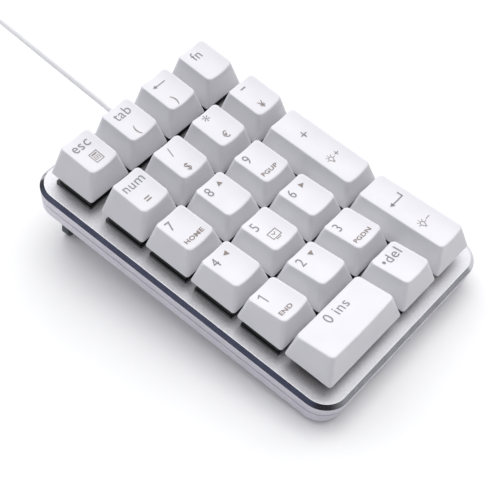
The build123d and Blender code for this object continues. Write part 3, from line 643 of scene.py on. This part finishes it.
# main text or mark, its size, how far it stands in from the left, second text or icon, its size
LEGENDS = {
    "esc": ("esc", 5.4, 2.0, "calculator", 0), "tab": ("tab", 5.2, 2.8, "(", 4.4),
    "backspace": ("back", 0, 2.6, ")", 4.4), "fn": ("fn", 5.2, 3.6, "", 0),
    "num": ("num", 5.0, 1.5, "=", 4.8), "divide": ("/", 5.0, 4.6, "$", 4.0),
    "multiply": ("*", 6.2, 4.2, "€", 3.8), "minus": ("dash", 0, 4.6, "¥", 3.8),
    "7": ("7", 5.2, 2.1, "HOME", 2.2), "8": ("8", 5.2, 1.9, "up", 0),
    "9": ("9", 5.2, 1.9, "PGUP", 2.2), "plus": ("+", 5.6, 4.8, "bulb+", 0),
    "4": ("4", 5.2, 1.9, "left", 0), "5": ("5", 5.2, 1.9, "screen", 0),
    "6": ("6", 5.2, 1.9, "right", 0), "1": ("one", 0, 2.6, "END", 2.2),
    "2": ("2", 5.2, 1.9, "down", 0), "3": ("3", 5.2, 1.9, "PGDN", 2.2),
    "enter": ("return", 0, 3.0, "bulb-", 0), "0": ("0 ins", 5.2, 10.4, "", 0),
    "decimal": ("•del", 5.2, 1.9, "", 0),
}
MARK_TURNS = {"up": 0, "left": 90, "down": 180, "right": 270}


def make_legend(name, cap, body, matrix):
    """A key's printed marks, laid on its dished top."""
    bm = bmesh.new()
    main, size, inset, second, second_size = LEGENDS[name]
    left = -cap.top_x / 2 + inset
    main_y = cap.y_back - BACK_MARGIN - LETTER_HEIGHT
    if cap.size_y > 2 * CAP_SIZE:
        main_y -= TALL_CAP_DROP
    if main == "back":
        back_arrow(bm, left, main_y + 1.6, 5.6)
    elif main == "dash":
        stroke(bm, [(left, main_y + 3.0), (left + 1.9, main_y + 3.0)], 0.5, 0)
    elif main == "one":
        stroke(bm, [(left, main_y + 2.9), (left + 1.1, main_y + 3.5), (left + 1.1, main_y)],
               0.45, 0)
    elif main == "return":
        return_arrow(bm, left, main_y + 1.0)
    else:
        text_mesh(bm, main, size, left, main_y, 0)
    low_y = cap.y_front + FRONT_MARGIN
    if second in MARK_TURNS:
        arrow_mark(bm, -cap.top_x / 2 + 8.4, main_y + 1.9, 1.2, MARK_TURNS[second])
    elif second == "calculator":
        calculator_icon(bm, 0.5, low_y + 2.0)
    elif second == "screen":
        screen_icon(bm, -0.4, low_y + 2.4)
    elif second.startswith("bulb"):
        bulb_icon(bm, -1.4, low_y + 8.3, second[-1])
    elif len(second) > 1:
        text_mesh(bm, second, second_size, -4.5, low_y - 0.1, 1, stretch=1.3, swell=0.022)
    elif second:
        text_mesh(bm, second, second_size, -1.9, low_y - 0.7, 1, swell=0.006)
    reach = cap.top_x / 2
    cut = -reach
    while cut < reach:
        bmesh.ops.bisect_plane(bm, geom=bm.verts[:] + bm.edges[:] + bm.faces[:],
                               plane_co=(cut, 0, 0), plane_no=(1, 0, 0))
        cut += LEGEND_CUT
    for vert in bm.verts:
        vert.co.z = cap.top_z(vert.co.x, vert.co.y) + LEGEND_LIFT
    legend = finish_object("legend_" + name, bm, [LEGEND_GREY, LEGEND_BROWN], body, matrix)
    return legend


# ---------------------------------------------------------------- switch springs
SPRING_SEAT_Z = -3.8        # floor of the switch's well
SPRING_TOP_Z = 4.1          # where the stem rests on the spring, key up
SPRING_RADIUS = 2.3
SPRING_WIRE = 0.3
SPRING_TURNS = 5
STEPS_PER_TURN = 20
WIRE_SIDES = 8


def make_spring(name, place):
    """A coil spring under a key, built at its resting length."""
    steps = SPRING_TURNS * STEPS_PER_TURN
    low = SPRING_SEAT_Z + SPRING_WIRE
    height = SPRING_TOP_Z - SPRING_WIRE - low
    bm = bmesh.new()
    rings = []
    for step in range(steps + 1):
        angle = 2 * math.pi * SPRING_TURNS * step / steps
        ring = []
        for side in range(WIRE_SIDES):
            around = 2 * math.pi * side / WIRE_SIDES
            reach = SPRING_RADIUS + SPRING_WIRE * math.cos(around)
            z = low + height * step / steps + SPRING_WIRE * math.sin(around)
            ring.append((reach * math.cos(angle), reach * math.sin(angle), z))
        rings.append(add_ring(bm, ring))
    for lower, upper in zip(rings, rings[1:]):
        bridge(bm, lower, upper)
    bm.faces.new(rings[0])
    bm.faces.new(rings[-1])
    bmesh.ops.recalc_face_normals(bm, faces=bm.faces)
    spring = finish_object("spring_" + name, bm, [STEEL], "root", place)
    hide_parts("switch_springs")
    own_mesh(spring)


for name, column, row, width, depth, front, back in KEYS:
    key_x, key_y = key_centre(column, row, width, depth)
    make_spring(name, CASE @ Matrix.Translation((key_x, key_y, 0)))
    place = CASE @ Matrix.Translation((key_x, key_y, CAP_REST_Z))
    body = "key_" + name
    cap = Cap(width, depth, front, back)
    piece = cap.build("cap_" + name, body, place)
    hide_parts("keycap_" + name)
    make_legend(name, cap, body, place)


# ---------------------------------------------------------------- top cover
PLATE_MARGIN = 3.3
TOP_WIDTH = GRID_WIDTH + 2 * PLATE_MARGIN
TOP_DEPTH = GRID_DEPTH + 2 * PLATE_MARGIN
CORNER_RADIUS = 7.8
PARTING_Z = -5.4
SWITCH_HOLE = 14.0
STABILISER_REACH = 11.94
STABILISER_HOLE = (7.0, 9.2)
PLATE_THICKNESS = 1.5
PLATE_EDGE = -0.3           # where the flat plate meets the rim, as growth of the outline
SIDE_INSIDE = -1.2          # inner face of the side wall, likewise
# the rim's section: growth of the outline, height, and slot (0 plate, 1 chamfer, 2 side)
RIM_SECTION = [
    (PLATE_EDGE, 0, 0), (-0.05, 0, 0), (0.02, -0.02, 1), (0.09, -0.09, 1), (1.31, -1.31, 1),
    (1.38, -1.38, 1), (1.40, -1.50, 2), (0.95, -5.25, 2), (0.88, -5.38, 2),
    (0.75, PARTING_Z, 2), (SIDE_INSIDE, PARTING_Z, 2), (SIDE_INSIDE, -PLATE_THICKNESS, 2),
    (PLATE_EDGE, -PLATE_THICKNESS, 2),
]


def case_outline(growth):
    """The top's outline, grown outward on every side."""
    return rounded_outline(TOP_WIDTH + 2 * growth, TOP_DEPTH + 2 * growth,
                           CORNER_RADIUS + growth, GRID_DEPTH / 2, per_corner=20, per_side=2)


def rectangle(x, y, width, depth):
    return [(x - width / 2, y - depth / 2), (x + width / 2, y - depth / 2),
            (x + width / 2, y + depth / 2), (x - width / 2, y + depth / 2)]


def plate_openings():
    """The square hole of each switch and the stabiliser holes of the double keys."""
    holes = []
    for name, column, row, width, depth, front, back in KEYS:
        x, y = key_centre(column, row, width, depth)
        holes.append(rectangle(x, y, SWITCH_HOLE, SWITCH_HOLE))
        for side in (-1, 1):
            if width == 2:
                holes.append(rectangle(x + side * STABILISER_REACH, y, *STABILISER_HOLE))
            if depth == 2:
                holes.append(rectangle(x, y + side * STABILISER_REACH, *STABILISER_HOLE[::-1]))
    return holes


def flat_plate():
    """The pierced plate as a bmesh, filled between its outline and its openings."""
    curve = bpy.data.curves.new("plate", "CURVE")
    curve.dimensions = "2D"
    curve.fill_mode = "BOTH"
    curve.extrude = PLATE_THICKNESS / 2
    for outline in [case_outline(PLATE_EDGE)] + plate_openings():
        spline = curve.splines.new("POLY")
        spline.points.add(len(outline) - 1)
        for point, (x, y) in zip(spline.points, outline):
            point.co = (x, y, 0, 1)
        spline.use_cyclic_u = True
    flat = bpy.data.objects.new("plate", curve)
    bpy.context.scene.collection.objects.link(flat)
    bpy.context.view_layer.update()
    mesh = bpy.data.meshes.new_from_object(flat)
    bpy.data.objects.remove(flat)
    bm = bmesh.new()
    bm.from_mesh(mesh)
    bpy.data.meshes.remove(mesh)
    bmesh.ops.translate(bm, vec=(0, 0, -PLATE_THICKNESS / 2), verts=bm.verts)
    return bm


def make_top_cover():
    """The plate with its polished chamfer and the side wall down to the parting line."""
    bm = flat_plate()
    rings = []
    for growth, z, slot in RIM_SECTION:
        rings.append(add_ring(bm, [(x, y, z) for x, y in case_outline(growth)]))
    for lower, upper, (growth, z, slot) in zip(rings, rings[1:], RIM_SECTION[1:]):
        bridge(bm, upper, lower, slot)
    bmesh.ops.recalc_face_normals(bm, faces=bm.faces)
    cover = finish_object("top_cover_shell", bm, [PLATE_METAL, CHAMFER_METAL, SIDE_METAL],
                          "root", CASE, smooth_angle=25)
    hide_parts("top_cover")


make_top_cover()

# ---------------------------------------------------------------- other pieces
refine("rear_foot_left", "tilt_foot_left", "tilt_foot_left", FOOT_RUBBER, 0.6, segments=4)
refine("rear_foot_right", "tilt_foot_right", "tilt_foot_right", FOOT_RUBBER, 0.6, segments=4)
refine("front_pads", "front_feet", "root", PAD_RUBBER, 0.25)

NODE_MATERIALS = {
    "bottom_case": SIDE_METAL, "circuit_board": BOARD, "case_screws": STEEL,
    "switch_bases": BLACK_PLASTIC, "switch_covers": BLACK_PLASTIC,
    "stabiliser_housings": BLACK_PLASTIC, "wire_plus": STEEL, "wire_enter": STEEL,
    "wire_0": STEEL,
}
for name, *unused in KEYS:
    NODE_MATERIALS["stem_" + name] = STEM_PLASTIC
for node, material in NODE_MATERIALS.items():
    slots = frame["nodes"][node].data.materials
    slots.clear()
    slots.append(material)


# ---------------------------------------------------------------- studio
FLOOR_REACH = 3             # metres


def make_floor():
    """White paper with a faint glow of its own, which keeps its shaded parts light."""
    far = FLOOR_REACH
    mesh = bpy.data.meshes.new("floor")
    mesh.from_pydata([(-far, -far, 0), (far, -far, 0), (far, far, 0), (-far, far, 0)], [],
                     [(0, 1, 2, 3)])
    material, nodes, links, shader = new_material("paper_floor")
    mottle = noise_node(nodes, links, 30)
    ramp = ramp_colours(nodes, links, mottle, (0.76, 0.76, 0.76), (0.78, 0.78, 0.78))
    links.new(ramp.outputs["Color"], shader.inputs["Base Color"])
    shader.inputs["Roughness"].default_value = 0.7
    shader.inputs["Specular IOR Level"].default_value = 0.2
    shader.inputs["Emission Color"].default_value = (1, 1, 1, 1)
    shader.inputs["Emission Strength"].default_value = 0.08
    mesh.materials.append(material)
    floor = bpy.data.objects.new("floor", mesh)
    bpy.context.scene.collection.objects.link(floor)


# direction, where its glow starts and is full (as the cosine to it), and its colour
GLOWS = [
    ((0.22, 0.25, 0.94), 0.40, 0.98, (2.45, 2.45, 2.48)),
    ((0.75, -0.60, 0.35), 0.30, 1.0, (0.36, 0.36, 0.37)),
    ((-0.80, 0.45, 0.40), 0.50, 1.0, (0.06, 0.07, 0.12)),
]
DARK = (0.035, 0.035, 0.04)


def make_studio():
    """Soft overhead light, a little from behind and the right, in a dim studio."""
    world = bpy.data.worlds.new("studio")
    bpy.context.scene.world = world
    world.use_nodes = True
    nodes = world.node_tree.nodes
    links = world.node_tree.links
    background = nodes["Background"]
    place = nodes.new("ShaderNodeTexCoord")
    total = None
    for direction, start, end, colour in GLOWS:
        dot = nodes.new("ShaderNodeVectorMath")
        dot.operation = "DOT_PRODUCT"
        dot.inputs[1].default_value = Vector(direction).normalized()
        links.new(place.outputs["Generated"], dot.inputs[0])
        spread = nodes.new("ShaderNodeMapRange")
        spread.interpolation_type = "SMOOTHSTEP"
        spread.inputs["From Min"].default_value = start
        spread.inputs["From Max"].default_value = end
        links.new(dot.outputs["Value"], spread.inputs["Value"])
        glow = nodes.new("ShaderNodeVectorMath")
        glow.operation = "SCALE"
        glow.inputs[0].default_value = colour
        links.new(spread.outputs["Result"], glow.inputs["Scale"])
        add = nodes.new("ShaderNodeVectorMath")
        add.operation = "ADD"
        if total is None:
            add.inputs[1].default_value = DARK
        else:
            links.new(total.outputs["Vector"], add.inputs[1])
        links.new(glow.outputs["Vector"], add.inputs[0])
        total = add
    links.new(total.outputs["Vector"], background.inputs["Color"])


make_floor()
make_studio()
bpy.context.scene.view_settings.view_transform = "Standard"
